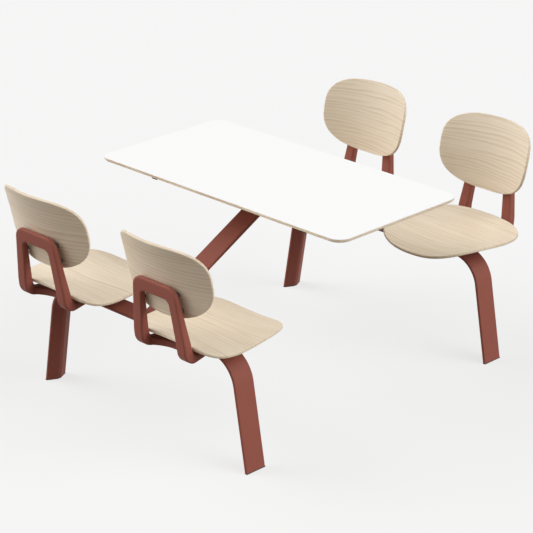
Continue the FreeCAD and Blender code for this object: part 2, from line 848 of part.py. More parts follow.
def make_carrier(name):
    """A casting: a web over the pivot, two arms that bend up into posts, and a bar across their top."""
    carrier = new_body(f"carrier_{name}", seat_place(name))
    low = size("arm_bottom")
    high = low + size("arm_thickness")
    top = size("loop_top")
    front = size("web_front")
    side = new_sketch(carrier, "YZ_Plane", "side")
    draw_outline(side, [
        (front, low, None),
        (front, high, None),
        (-front_plane(high), high, size("bend_inside")),
        (-front_plane(top), top, None),
        (-rear_plane(top), top, None),
        (-rear_plane(low), low, size("bend_outside")),
    ])
    pad(carrier, side, size("loop_half_width") * 3, both_ways=True)
    trim_outside(carrier, "XZ_Plane", "front", loop_outline())
    trim_outside(carrier, "XY_Plane", "plan", web_outline())
    cut_window(carrier)
    shape_hub(carrier)
    drill_carrier(carrier)
    round_edges(carrier)


def trim_outside(body, plane, name, outline):
    """Everything outside the outline cut away, right through."""
    sketch = new_sketch(body, plane, name)
    around = size("loop_half_width") * 2
    draw_outline(sketch, rectangle(around, -around * 2, size("loop_top") * 2))
    draw_outline(sketch, outline)
    pocket(body, sketch)


def loop_outline():
    """The loop from the front: its posts lean together to rounded shoulders."""
    foot = size("loop_half_width")
    return mirrored([
        (foot, ZERO, None),
        (foot, size("loop_knee"), size("knee_round")),
        (size("loop_half_top"), size("loop_top"), size("loop_corner")),
    ])


def web_outline():
    """The carrier from above: arms that close in from the posts to the web over the pivot."""
    foot = size("loop_half_width")
    front = size("web_front")
    return mirrored([
        (size("web_half_front"), front, size("web_corner")),
        (size("web_half_hub"), ZERO, size("web_corner") * 3),
        (size("arm_half_front"), -size("arm_neck"), size("web_corner")),
        (foot, -size("arm_root"), size("web_corner")),
        (foot, -(size("post_rear") * 2), None),
    ])


def cut_window(carrier):
    """The opening between the posts, and the hollow curve of the web's rear edge below it."""
    knee = size("loop_knee")
    top = size("window_top")
    foot = size("window_half_foot")
    window = new_sketch(carrier, "XZ_Plane", "window", front_plane(knee) - size("cut_margin"))
    draw_outline(window, mirrored([
        (foot, knee - size("bend_outside") * 2, None),
        (foot, knee, size("bend_inside")),
        (size("window_half_top"), top, size("window_corner")),
    ]))
    pocket(carrier, window, size("post_rear"), along_normal=True)
    low = size("arm_bottom")
    hollow = new_sketch(carrier, "XY_Plane", "web_edge", low - size("cut_margin"))
    draw_web_edge(hollow, foot)
    pocket(carrier, hollow, knee - low, along_normal=True)


def draw_web_edge(sketch, half_gap):
    """A bay between the arms: straight sides, small corners and one long arc across the web."""
    bend = size("web_curve")
    corner = size("web_bay_corner")
    centre = -(size("web_rear") + bend)
    side = half_gap - corner
    rise = root((bend - corner) * (bend - corner) - side * side)
    turn = bend / (bend - corner)
    rear = -(size("post_rear") * 1.5)
    beside = Vector(half_gap.value, (centre + rise).value, 0)
    touch = Vector((side * turn).value, (centre + rise * turn).value, 0)
    middle = Vector(side.value, (centre + rise).value, 0)
    bulge = middle + (beside - middle + touch - middle).normalize() * corner.value
    crest = Vector(0, -size("web_rear").value, 0)

    def flip(point):
        return Vector(-point.x, point.y, 0)

    foot = Vector(half_gap.value, rear.value, 0)
    curves = [
        Part.LineSegment(flip(foot), foot),
        Part.LineSegment(foot, beside),
        Part.Arc(beside, bulge, touch),
        Part.Arc(touch, crest, flip(touch)),
        Part.Arc(flip(touch), flip(bulge), flip(beside)),
        Part.LineSegment(flip(beside), flip(foot)),
    ]
    drawn = [sketch.addGeometry(curve, False) for curve in curves]
    ends = [foot, beside, touch, flip(touch), flip(beside), flip(foot)]
    for index, end in enumerate(ends):
        first = drawn[index]
        second = drawn[(index + 1) % len(drawn)]
        leave = 1 if sketch.getPoint(first, 1).distanceToPoint(end) < NEAR else 2
        enter = 1 if sketch.getPoint(second, 1).distanceToPoint(end) < NEAR else 2
        kind = "Coincident" if index in (0, 5) else "Tangent"
        sketch.addConstraint(Sketcher.Constraint(kind, first, leave, second, enter))
    for arc, radius in ((drawn[2], corner), (drawn[3], bend), (drawn[4], corner)):
        bind(sketch, "Radius", (arc,), radius)
    sketch.addConstraint(Sketcher.Constraint("PointOnObject", drawn[3], 3, -2))
    bind(sketch, "DistanceY", (-1, 1, drawn[3], 3), centre)
    for line, point, amount in ((drawn[0], 2, half_gap), (drawn[0], 1, -half_gap)):
        bind(sketch, "DistanceX", (-1, 1, line, point), amount)
        bind(sketch, "DistanceY", (-1, 1, line, point), rear)
    for line in (drawn[1], drawn[5]):
        sketch.addConstraint(Sketcher.Constraint("Vertical", line))


def shape_hub(carrier):
    """A boss down to the bush's collar, the bush's bore, and the pocket that hides the nut."""
    collar = size("beam_height") + size("base_thickness") + size("bush_flange")
    low = size("arm_bottom")
    boss = new_sketch(carrier, "XY_Plane", "boss", collar)
    draw_circle(boss, size("hub_radius"))
    pad(carrier, boss, low - collar + size("hub_floor") / 2)
    bore = new_sketch(carrier, "XY_Plane", "bore")
    draw_circle(bore, size("bush_radius"))
    pocket(carrier, bore)
    nut = new_sketch(carrier, "XY_Plane", "nut_pocket", low + size("hub_floor"))
    draw_circle(nut, size("hub_pocket"))
    pocket(carrier, nut, size("arm_thickness"), along_normal=True)


def seat_screw_places():
    """Where four screws rise through the web into the seat."""
    rear = (size("seat_screw_rear_across"), -size("seat_screw_rear"))
    front = (size("seat_screw_front_across"), size("seat_screw_front"))
    return [(across * side, along) for across, along in (rear, front) for side in (1, -1)]


def back_stud_places():
    """Where the backrest's four studs stand on the posts, low and high."""
    low = (size("back_stud_low_across"), size("back_stud_low"))
    high = (size("back_stud_high_across"), size("back_stud_high"))
    return [(across * side, up) for across, up in (low, high) for side in (1, -1)]


def drill_carrier(carrier):
    """Clearance holes for the seat's screws, and blind holes for the backrest's studs."""
    holes = new_sketch(carrier, "XY_Plane", "seat_holes")
    for across, along in seat_screw_places():
        draw_circle(holes, size("screw_clearance"), across, along)
    pocket(carrier, holes)
    for number, (across, up) in enumerate(back_stud_places()):
        start = front_plane(up) - size("back_stud_bite")
        hole = new_sketch(carrier, "XZ_Plane", f"stud_hole_{number + 1}", start)
        draw_circle(hole, size("bolt_radius"), across, up)
        pocket(carrier, hole, size("back_stud_bite") * 2, along_normal=True)


def face_turn(shape, edge):
    """The angle between the two faces that meet at the edge, 0 where they run on smoothly."""
    middle = edge.valueAt((edge.FirstParameter + edge.LastParameter) / 2)
    normals = []
    for face in shape.ancestorsOfType(edge, Part.Face):
        normals.append(face.normalAt(*face.Surface.parameter(middle)))
    return math.degrees(normals[0].getAngle(normals[-1]))


def round_edges(carrier):
    """Every sharp edge of the casting softened, apart from the rims of its round holes."""
    doc.recompute()
    casting = carrier.Tip
    shape = casting.Shape
    sharp = [n for n, edge in enumerate(shape.Edges, start=1)
             if not edge.isClosed() and face_turn(shape, edge) > SHARP]
    fillet = carrier.newObject("PartDesign::Fillet", f"{carrier.Name}_edges")
    fillet.Base = (casting, [f"Edge{n}" for n in sharp])
    fillet.setExpression("Radius", "Sizes.edge_round")


# ---------------------------------------------------------------- moulded plywood

def seat_top(across, along):
    """A point on the seat's upper face: a raised rear, a dropped front, and sides that roll the other way."""
    unit = size("dish_unit").value
    rear = size("seat_side_rear").value
    front = size("seat_side_front").value
    roll = (front - rear) / 2 + (front + rear) / 2 * along / unit
    past = (along - size("seat_low").value) / unit
    rise = size("seat_rear_rise").value if past < 0 else -size("seat_front_drop").value
    return Vector(across, along, size("seat_height").value + roll * (across / unit) ** 2 + rise * past ** 2)


def rest_middle(across, up):
    """A point on the backrest's middle layer: it leans back and wraps forward at its sides."""
    unit = size("rest_unit").value
    above = (up - size("rest_middle").value) / unit
    wrap = size("rest_wrap").value + size("rest_wrap_rise").value * above
    forward = wrap * (across / size("rest_half_width").value) ** 2
    lean = size("rest_lean").value * above * unit + size("rest_bow").value * above ** 2
    return Vector(across, -size("rest_offset").value - lean + forward, up)


def shifted(point, across, other, distance):
    """The surface point moved off the surface by a distance."""
    step = 1
    slope = point(across + step, other) - point(across - step, other)
    rise = point(across, other + step) - point(across, other - step)
    return point(across, other) + slope.cross(rise).normalize() * distance


def curved_face(point, across_reach, low, high, distance):
    """A smooth face through points of the surface, off it by a distance."""
    spans = 8
    rows = []
    for n in range(spans + 1):
        other = low + (high - low) * n / spans
        row = [shifted(point, across_reach * (2 * m / spans - 1), other, distance) for m in range(spans + 1)]
        rows.append(row)
    surface = Part.BSplineSurface()
    surface.interpolate(rows)
    return Part.Face(surface)


def squared_oval(half_width, low, high, low_power, high_power, taper):
    """Points round an oval with squared ends, its lower and upper halves each with their own fullness."""
    points = []
    for n in range(OVAL_POINTS):
        angle = 2 * math.pi * n / OVAL_POINTS
        across = math.cos(angle)
        up = math.sin(angle)
        power = high_power if up >= 0 else low_power
        reach = high if up >= 0 else low
        other = math.copysign(abs(up) ** (2 / power), up) * reach
        width = half_width + taper * other
        points.append((math.copysign(abs(across) ** (2 / power), across) * width, other))
    return points


def oval_face(points):
    """The flat face inside a closed smooth curve."""
    curve = Part.BSplineCurve()
    curve.interpolate(Points=points, PeriodicFlag=True)
    return Part.Face(Part.Wire(curve.toShape()))


def make_seat_panel():
    """The seat's plywood, and the space under it down to the web."""
    rear = size("seat_back").value
    front = size("seat_front").value
    wide = (size("seat_half_rear").value + size("seat_half_front").value) / 2
    taper = (size("seat_half_front").value - size("seat_half_rear").value) / (rear + front)
    outline = squared_oval(wide, rear, front, size("seat_rear_power").value, size("seat_front_power").value, taper)
    reach = front + rear
    prism = oval_face([Vector(x, y, 0) for x, y in outline]).extrude(Z_AXIS * reach * 2)
    margin = size("tube_width").value / 2
    down = -Z_AXIS * size("seat_height").value
    edges = (wide + margin, -rear - margin, front + margin)
    under_top = curved_face(seat_top, *edges, 0).extrude(down)
    under = curved_face(seat_top, *edges, -size("ply_thickness").value).extrude(down)
    return prism.common(under_top).cut(under), under


def make_rest_panel():
    """The backrest's plywood, and the space behind it."""
    middle = size("rest_middle").value
    above = size("rest_above").value
    below = size("rest_below").value
    wide = size("rest_half_width").value
    taper = size("rest_taper").value
    outline = squared_oval(wide, below, above, size("rest_low_power").value, size("rest_high_power").value, taper)
    prism = oval_face([Vector(x, 0, middle + z) for x, z in outline]).extrude(-Y_AXIS * above * 4)
    margin = size("ply_thickness").value * 2
    back = -Y_AXIS * above * 2
    half = size("ply_thickness").value / 2
    edges = (wide + margin, middle - below - margin, middle + above + margin)
    behind_front = curved_face(rest_middle, *edges, -half).extrude(back)
    behind = curved_face(rest_middle, *edges, half).extrude(back)
    return prism.common(behind_front).cut(behind), behind


def make_seat_parts():
    """For each seat: its two plywood panels, the pads under and behind them, and their fixings."""
    seat, under = make_seat_panel()
    rest, behind = make_rest_panel()
    screws = [(across.value, along.value) for across, along in seat_screw_places()]
    studs = [(across.value, up.value) for across, up in back_stud_places()]
    web = (size("arm_bottom") + size("arm_thickness")).value
    thread = size("screw_radius").value
    ply = size("ply_thickness").value
    bottom = size("arm_bottom").value
    seat_pads = []
    seat_screws = []
    for across, along in screws:
        face = seat_top(across, along).z - ply
        length = face + size("seat_screw_bite").value - bottom
        hole = Part.makeCylinder(thread, length, Vector(across, along, bottom))
        pad_bar = Part.makeCylinder(size("seat_pad_radius").value, BEYOND, Vector(across, along, web))
        seat_pads.append(pad_bar.common(under).cut(hole))
        seat = seat.cut(hole)
        screw = socket_screw(2 * thread, thread, thread, length - 1, thread)
        screw.rotate(Vector(), X_AXIS, 180)
        screw.translate(Vector(across, along, bottom))
        seat_screws.append(screw)
    back_pads = []
    back_studs = []
    for across, up in studs:
        front = -front_plane(Size.of(up)).value
        stud = size("bolt_radius").value
        start = front - size("back_stud_bite").value
        finish = rest_middle(across, up).y
        back_studs.append(Part.makeCylinder(stud, finish - start, Vector(across, start, up), Y_AXIS))
        radius = size("back_pad_radius").value
        pad_bar = Part.makeCylinder(radius, BEYOND, Vector(across, start, up), Y_AXIS)
        back_pads.append(pad_bar.common(behind).common(ahead_of_posts()).cut(back_studs[-1]))
        rest = rest.cut(back_studs[-1])
    for name in SEAT_NAMES:
        place = seat_place(name)
        add_part(f"seat_{name}", seat.copy(), place)
        add_part(f"backrest_{name}", rest.copy(), place)
        add_part(f"seat_pads_{name}", Part.makeCompound(seat_pads), place)
        add_part(f"back_pads_{name}", Part.makeCompound(back_pads), place)
        add_part(f"seat_screws_{name}", Part.makeCompound(seat_screws), place)
        add_part(f"back_studs_{name}", Part.makeCompound(back_studs), place)


def ahead_of_posts():
    """The space in front of the posts' leaning faces."""
    half = size("loop_half_width").value
    levels = [size("loop_knee"), size("loop_top")]
    edge = [Vector(-half, -front_plane(level).value, level.value) for level in levels]
    back = [point + X_AXIS * 2 * half for point in reversed(edge)]
    return Part.Face(Part.makePolygon(edge + back + edge[:1])).extrude(Y_AXIS * half)


# ---------------------------------------------------------------- build and write

make_top()
make_rails()
make_bench("near", -1)
make_bench("far", 1)
make_arch()
make_saddle()
make_glides()
make_frame_fasteners()
make_swivel_nuts()
for seat_name in SEAT_NAMES:
    make_swivel(seat_name)
    make_carrier(seat_name)
make_seat_parts()
doc.recompute()

for item in doc.Objects:
    if "Invalid" in item.State or "Error" in item.State:
        raise RuntimeError(f"{item.Name} did not build: {item.State}")
for part in parts:
    if part.Shape.isNull() or not part.Shape.isValid():
        raise RuntimeError(f"{part.Label} has no valid shape")

os.makedirs("parts", exist_ok=True)
for part in parts:
    part.Shape.exportStep(f"parts/{part.Label}.step")
    print(part.Label, len(part.Shape.Solids), "solids", round(part.Shape.Volume), "mm3")
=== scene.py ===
"""A table with four swivel seats: its plywood, laminate, painted steel, small parts and studio."""

import json
import math

import bmesh
import bpy
from bpy.props import FloatProperty, FloatVectorProperty, PointerProperty
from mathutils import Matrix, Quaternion, Vector


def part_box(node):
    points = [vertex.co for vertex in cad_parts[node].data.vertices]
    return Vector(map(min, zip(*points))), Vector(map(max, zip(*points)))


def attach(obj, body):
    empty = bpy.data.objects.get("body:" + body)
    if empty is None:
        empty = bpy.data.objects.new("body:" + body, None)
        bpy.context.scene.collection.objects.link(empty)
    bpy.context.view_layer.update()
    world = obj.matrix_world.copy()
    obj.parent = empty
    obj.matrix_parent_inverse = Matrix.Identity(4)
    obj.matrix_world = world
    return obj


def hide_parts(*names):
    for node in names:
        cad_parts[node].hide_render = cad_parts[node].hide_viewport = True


bl_info = {
    "name": "Swivel Seat Table",
    "version": (1, 0, 0),
    "blender": (4, 5, 0),
    "location": "3D View > Sidebar > Swivel Table",
    "description": "Moulds the seats and backrests, finishes every part and sets up the studio",
    "category": "Add Mesh",
}

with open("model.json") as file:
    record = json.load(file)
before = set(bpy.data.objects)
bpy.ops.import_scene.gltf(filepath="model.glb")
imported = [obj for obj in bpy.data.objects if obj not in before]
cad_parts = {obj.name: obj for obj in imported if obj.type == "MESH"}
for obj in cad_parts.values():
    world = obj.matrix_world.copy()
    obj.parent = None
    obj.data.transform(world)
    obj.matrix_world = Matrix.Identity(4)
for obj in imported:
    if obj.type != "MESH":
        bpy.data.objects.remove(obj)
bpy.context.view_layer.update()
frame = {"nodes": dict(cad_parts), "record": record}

SEATS = ("near_left", "near_right", "far_left", "far_right")
GRAIN = "veneer"  # the attribute that holds a vertex's place on the veneer
RECORD_COLOURS = {item["slot"]: item["base_color"] for item in frame["record"]["materials"]}


# ---------------------------------------------------------------- the veneer's own numbers

# Noise cells in a metre of veneer: across the sheet, along it and through its plies.
DRIFT_CELLS = (1.9, 7.0, 7.0)
WANDER_CELLS = (3.2, 26.0, 26.0)
FADING_CELLS = (2.4, 38.0, 20.0)
STREAK_CELLS = (8.0, 330.0, 60.0)
PORE_CELLS = (45.0, 1900.0, 200.0)
END_GRAIN_CELLS = (260.0, 260.0, 700.0)

DRIFT = 0.045               # metres by which the grain drifts along the sheet
RINGS = 74.0                # year rings in a metre along the sheet
RING_WANDER = 2.4           # rings by which the grain wanders
PLIES = 9.0                 # plies in the thickness
FACE_PLY = 0.04             # share of the thickness that shows face veneer only
GLUE_LINE = 0.05            # half the width of a glue line, in plies
GLUE_SHADE = 0.18           # how much darker a glue line is
CROSS_SHADE = 0.25          # how much darker the plies that lie across are
VENEER_STEP = (1.3, 0.47, 0.0)  # metres from one panel's veneer to the next one's


# ---------------------------------------------------------------- the moulded sheets' meshes

CORNER_SEGMENTS = 36        # edges round each quarter of an oval
RING_COUNT = 18             # rings from the rim of an oval to its middle
RIM_RING = 0.978            # the inner size of the narrow ring along the rim
NEARLY = 0.999              # share of a reach beyond which a vertex is at its end
SHEET_MERGE = 0.0002        # metres within which the flat sheet's vertices are one
PLY_MERGE = 0.00001         # the same, for the finished panel
CAGE_POINTS = 15            # points each way of the mould
CAGE_SIZE = 0.62            # metres that the mould measures each way
EDGE_SEGMENTS = 4           # facets round an edge
ROUNDED_TURN = math.radians(50)     # edges that turn more than this are rounded
SMOOTH_TURN = math.radians(40)      # faces that turn less than this look like one
BOW_UNIT = 0.1              # metres above the middle line at which the backrest's bow is given


# ---------------------------------------------------------------- the studio's fixed numbers

FLOOR_SIZE = 60.0
BOUNCE_TINT = (1.0, 0.83, 0.68)     # the light that comes back from the floor is warmer
LIGHTS = {                  # where each light comes from: turn and height, in degrees
    "left": (210, 33),
    "front": (255, 6),
    "back": (20, 33),
    "high": (225, 60),
}
CAMERA_TARGET = (-0.02656, -0.01614, 0.4)
SENSOR_WIDTH = 36           # millimetres


# ---------------------------------------------------------------- what a user would change

def metres(name, description, default):
    """A length setting."""
    return FloatProperty(name=name, description=description, default=default, unit="LENGTH",
                         precision=4)


def number(name, description, default):
    """A plain factor."""
    return FloatProperty(name=name, description=description, default=default)


def colour(name, description, default):
    """A colour setting."""
    return FloatVectorProperty(name=name, description=description, default=default,
                               subtype="COLOR", size=3, min=0, max=1)


class SwivelTableSeatSizes(bpy.types.PropertyGroup):
    """The moulded seat panel, measured from its pivot; along is towards the table."""

    thickness: metres("Thickness", "Thickness of the plywood", 0.011)
    edge: metres("Edge rounding", "Radius on the plywood's edges", 0.0032)
    half_width: metres("Half width", "Half the width at the pivot", 0.2195)
    behind: metres("Behind pivot", "Reach of the seat behind the pivot", 0.185)
    ahead: metres("Ahead of pivot", "Reach of the seat ahead of the pivot", 0.223)
    behind_fullness: number("Rear fullness", "2 is a plain oval; more is squarer", 4.3)
    ahead_fullness: number("Front fullness", "2 is a plain oval; more is squarer", 2.95)
    taper: number("Taper", "Change of half width along the seat", -0.0246)
    height: metres("Height", "Height of the seat's lowest line", 0.456)
    low_line: metres("Low line", "Distance of the lowest line ahead of the pivot", 0.016)
    unit: metres("Dish unit", "Distance at which the rises below are reached", 0.2)
    rear_rise: metres("Rear rise", "Rise of the rear, at the dish unit", 0.025)
    front_drop: metres("Front drop", "Drop of the front, at the dish unit", 0.0205)
    side_rear: metres("Side fall, rear", "Fall of the sides at the rear", 0.019)
    side_front: metres("Side rise, front", "Rise of the sides at the front", 0.025)


class SwivelTableRestSizes(bpy.types.PropertyGroup):
    """The moulded backrest, measured from the seat's pivot."""

    half_width: metres("Half width", "Half the width at the middle line", 0.2052)
    middle: metres("Middle height", "Height of the widest line", 0.7094)
    below: metres("Below middle", "Reach below the widest line", 0.1455)
    above: metres("Above middle", "Reach above the widest line", 0.121)
    below_fullness: number("Lower fullness", "2 is a plain oval; more is squarer", 2.55)
    above_fullness: number("Upper fullness", "2 is a plain oval; more is squarer", 3.4)
    taper: number("Taper", "Change of half width with height", 0.0166)
    offset: metres("Offset", "Distance of the panel behind the pivot", 0.2232)
    lean: number("Lean", "Backward lean of the panel", 0.268)
    bow: metres("Bow", "Backward bow of the panel 100 mm off its middle", 0.0062)
    wrap: metres("Wrap", "Forward wrap of the panel's sides", 0.0532)
    wrap_rise: metres("Wrap rise", "Growth of the wrap in 100 mm of height", 0.0029)


class SwivelTableColours(bpy.types.PropertyGroup):
    """The finishes."""

    veneer_pale: colour("Veneer, pale", "Early wood of the oak veneer", (0.88, 0.765, 0.60))
    veneer_dark: colour("Veneer, dark", "Late wood of the oak veneer", (0.65, 0.50, 0.335))
    ply_cross: colour("Cross plies", "End grain of the plies that lie across", (0.58, 0.42, 0.265))
    laminate: colour("Laminate", "The table top's skin", (0.935, 0.935, 0.93))
    coat: colour("Powder coat", "Paint of the frame and the carriers", (0.315, 0.094, 0.066))
    plastic: colour("Plastic", "Glides, pads, caps and bushes", RECORD_COLOURS["dark_plastic"])
    zinc: colour("Zinc", "Plating of screws and washers", RECORD_COLOURS["zinc_steel"])
    floor: colour("Floor", "The studio floor", (0.91, 0.91, 0.907))


class SwivelTableStudio(bpy.types.PropertyGroup):
    """Camera and light."""

    azimuth: number("Azimuth", "Camera's turn round the table, in degrees", 45.28)
    elevation: number("Elevation", "Camera's height above the horizon, in degrees", 22.33)
    roll: number("Roll", "Camera's roll, in degrees", -0.17)
    distance: metres("Distance", "Camera's distance from its target", 7.76933)
    lens: number("Lens", "Focal length in millimetres", 146.25)
    left: number("Left light", "Strength of the light from the table's left end", 5.9)
    front: number("Front light", "Strength of the low light from the near side", 1.5)
    back: number("Back light", "Strength of the light from behind the right end", 6.1)
    high: number("High light", "Strength of the light from high on the near left", 0.5)
    narrowness: number("Narrowness", "Narrowness of the lights; less is softer", 12.0)
    glow: number("Floor glow", "Share of the floor's brightness that no shadow reaches", 0.8)
    bounce: number("Floor bounce", "Share of the floor's colour that lights from below", 0.2)


# ---------------------------------------------------------------- shader maths

class Link:
    """A node's output; arithmetic on it adds Math nodes."""

    def __init__(self, paint, socket):
        self.paint = paint
        self.socket = socket

    def maths(self, operation, *values):
        """A Math node with these inputs."""
        return self.paint.node("ShaderNodeMath", {"operation": operation}, dict(enumerate(values)))

    def __add__(self, other):
        return self.maths("ADD", self, other)

    def __radd__(self, other):
        return self.maths("ADD", other, self)

    def __sub__(self, other):
        return self.maths("SUBTRACT", self, other)

    def __rsub__(self, other):
        return self.maths("SUBTRACT", other, self)

    def __mul__(self, other):
        return self.maths("MULTIPLY", self, other)

    def __rmul__(self, other):
        return self.maths("MULTIPLY", other, self)

    def __truediv__(self, other):
        return self.maths("DIVIDE", self, other)

    def __mod__(self, other):
        return self.maths("FLOORED_MODULO", self, other)

    def __pow__(self, other):
        return self.maths("POWER", self, other)

    def __gt__(self, other):
        return self.maths("GREATER_THAN", self, other)

    def __lt__(self, other):
        return self.maths("LESS_THAN", self, other)

    def __abs__(self):
        return self.maths("ABSOLUTE", self)

    def within(self, low, high):
        """The value, kept from falling below low or rising above high."""
        return self.maths("MINIMUM", self.maths("MAXIMUM", self, low), high)

    def clear(self, low, high):
        """0 below low, 1 above high and smooth between."""
        return self.paint.node("ShaderNodeMapRange",
                               {"interpolation_type": "SMOOTHSTEP", "clamp": True},
                               {"Value": self, "From Min": low, "From Max": high})

    def stretched(self, factors):
        """The vector with each of its parts multiplied."""
        return self.paint.node("ShaderNodeVectorMath", {"operation": "MULTIPLY"},
                               {0: self, 1: factors})

    def shaken(self, by):
        """The vector moved by another."""
        return self.paint.node("ShaderNodeVectorMath", {"operation": "ADD"}, {0: self, 1: by})

    def part(self, axis):
        """One of the vector's three parts."""
        return self.paint.node("ShaderNodeSeparateXYZ", {}, {0: self}, output=axis)


class Paint:
    """The nodes of a material, or of the light all round."""

    def __init__(self, name, blocks=None, output_kind="ShaderNodeOutputMaterial"):
        self.block = (bpy.data.materials if blocks is None else blocks).new(name)
        self.block.use_nodes = True
        self.output_kind = output_kind
        self.tree = self.block.node_tree
        self.tree.nodes.clear()

    def node(self, kind, settings, values, output=0):
        """Any node: its settings first, then the values or links of its sockets."""
        made = self.tree.nodes.new(kind)
        for name, setting in settings.items():
            setattr(made, name, setting)
        for name, value in values.items():
            if isinstance(value, Link):
                self.tree.links.new(value.socket, made.inputs[name])
            else:
                made.inputs[name].default_value = value
        return None if output is None else Link(self, made.outputs[output])

    def place(self):
        """Where a point is on the whole object."""
        return self.node("ShaderNodeTexCoord", {}, {}, output="Object")

    def sheet_place(self):
        """Where a point is on a moulded sheet: across, along and down through its plies."""
        return self.node("ShaderNodeAttribute", {"attribute_name": GRAIN}, {}, output="Vector")

    def noise(self, place, cells, detail=2.0, roughness=0.5):
        """Soft noise from 0 to 1, with so many cells in a metre."""
        return self.node("ShaderNodeTexNoise", {}, {"Vector": place, "Scale": cells,
                                                    "Detail": detail, "Roughness": roughness})

    def drawn_noise(self, place, cells, detail=2.0, roughness=0.5):
        """Noise drawn out one way: cells holds how many there are in a metre, each way."""
        return self.noise(place.stretched(cells), 1.0, detail, roughness)

    def scatter(self, place, cells):
        """Distance to the nearest of scattered points."""
        return self.node("ShaderNodeTexVoronoi", {}, {"Vector": place, "Scale": cells})

    def mix(self, share, first, second):
        """Two colours mixed by a share from 0 to 1."""
        return self.node("ShaderNodeMix", {"data_type": "RGBA"},
                         {0: share, 6: opaque(first), 7: opaque(second)}, output=2)

    def blend(self, share, first, second):
        """Two shaders mixed by a share from 0 to 1."""
        return self.node("ShaderNodeMixShader", {}, {0: share, 1: first, 2: second})

    def bump(self, height, depth, strength):
        """Relief of a depth in metres."""
        return self.node("ShaderNodeBump", {},
                         {"Height": height, "Distance": depth, "Strength": strength})

    def finish(self, **values):
        """End with a shader that has these values on its sockets."""
        sockets = {name.replace("_", " ").title().replace("Ior", "IOR"): value
                   for name, value in values.items()}
        return self.end(self.node("ShaderNodeBsdfPrincipled", {}, sockets))

    def end(self, shader):
        """Join the shader to the output."""
        self.node(self.output_kind, {}, {"Surface": shader}, output=None)
        return self.block

    def background_ray(self):
        """1 for what the camera sees, straight on or in a reflection."""
        camera, glossy, through = (self.node("ShaderNodeLightPath", {}, {}, output=f"Is {kind} Ray")
                                   for kind in ("Camera", "Glossy", "Transmission"))
        return camera + glossy + through > 0.5


def opaque(value):
    """A colour setting as the four numbers that a colour socket takes; a link as it is."""
    return value if isinstance(value, Link) else (*value, 1.0)


def toned(value, share, lift=0.0):
    """A colour made paler or deeper."""
    return tuple(part * share + lift for part in value)


# ---------------------------------------------------------------- finishes

def plywood(colours, place, depth):
    """Oak-faced plywood: the grain runs across the sheet, and the cut edge shows the plies.

    Depth is 0 on the upper face and 1 on the lower one.
    """
    paint = place.paint
    drift = paint.drawn_noise(place, DRIFT_CELLS, detail=1.0) - 0.5
    bent = place.shaken(paint.node("ShaderNodeCombineXYZ", {}, {"Y": drift * DRIFT}))
    wander = paint.drawn_noise(bent, WANDER_CELLS)
    ring = (bent.part(1) * RINGS + wander * RING_WANDER) % 1.0
    strength = paint.drawn_noise(bent, FADING_CELLS).clear(0.24, 0.66)
    late = ring.clear(0.2, 0.9) * (1 - ring.clear(0.93, 1.0)) * strength
    streaks = paint.drawn_noise(bent, STREAK_CELLS, roughness=0.6).clear(0.42, 0.75)
    pores = paint.drawn_noise(bent, PORE_CELLS, detail=1.0).clear(0.56, 0.7)
    tone = paint.noise(place, 3.0)
    share = late * 0.54 + streaks * 0.2 + pores * 0.14 + tone * 0.14
    face = paint.mix(share, colours.veneer_pale, colours.veneer_dark)

    end_grain = paint.drawn_noise(place, END_GRAIN_CELLS)
    across = paint.mix(end_grain * 0.55, colours.ply_cross, colours.veneer_dark)
    ply = (depth.within(FACE_PLY, 1 - FACE_PLY) * PLIES) % 2.0
    crossing = ply.clear(0.94, 1.06) * (1 - ply.clear(1.9, 2.0))
    glue = abs(ply - 1.0) < GLUE_LINE
    relief = late * -0.2 + streaks * 0.25 + pores * -0.6
    return paint.finish(
        base_color=paint.mix(crossing * CROSS_SHADE + glue * GLUE_SHADE, face, across),
        roughness=0.42 + share * 0.16 + crossing * 0.12,
        normal=paint.bump(relief, depth=0.00008, strength=0.4),
        specular_ior_level=0.3,
        coat_weight=0.06,
        coat_roughness=0.28,
    )


def moulded_plywood(colours, thickness):
    """The plywood of the seats and backrests, whose plies follow the moulded sheet."""
    place = Paint("moulded_oak_plywood").sheet_place()
    return plywood(colours, place, place.part(2) / thickness)


def board_plywood(colours):
    """The table top's core, whose plies lie level."""
    place = Paint("oak_plywood_board").place()
    low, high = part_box("tabletop_core")
    return plywood(colours, place, (high.z - place.part(2)) / (high.z - low.z))


def laminate(colours):
    """White high-pressure laminate with a fine satin peel and faint wiping marks."""
    paint = Paint("white_laminate")
    place = paint.place()
    peel = paint.noise(place, 900.0, roughness=0.6)
    cloud = paint.noise(place, 5.0, detail=3.0)
    wiped = paint.drawn_noise(place, (4.0, 22.0, 4.0), detail=3.0, roughness=0.6)
    return paint.finish(
        base_color=paint.mix(cloud * 0.35, colours.laminate, toned(colours.laminate, 0.965)),
        roughness=0.36 + wiped * 0.1 + peel * 0.05,
        normal=paint.bump(peel, depth=0.00004, strength=0.35),
    )


def powder_coat(colours):
    """Terracotta polyester powder coat with a fine even grain."""
    paint = Paint("terracotta_powder_coat")
    place = paint.place()
    grain = paint.noise(place, 850.0, detail=3.0, roughness=0.65)
    peel = paint.noise(place, 190.0)
    cloud = paint.noise(place, 7.0, detail=3.0, roughness=0.6)
    speck = 1 - paint.scatter(place, 620.0).clear(0.0, 0.32)
    deep, pale = toned(colours.coat, 0.84), toned(colours.coat, 1.16, 0.006)
    return paint.finish(
        base_color=paint.mix(cloud * 0.45 + grain * 0.4 + speck * 0.2, deep, pale),
        roughness=0.44 + grain * 0.12 + cloud * 0.06,
        specular_ior_level=0.18,
        normal=paint.bump(grain * 0.7 + peel * 0.6 + speck * 0.3, depth=0.00009, strength=0.55),
    )


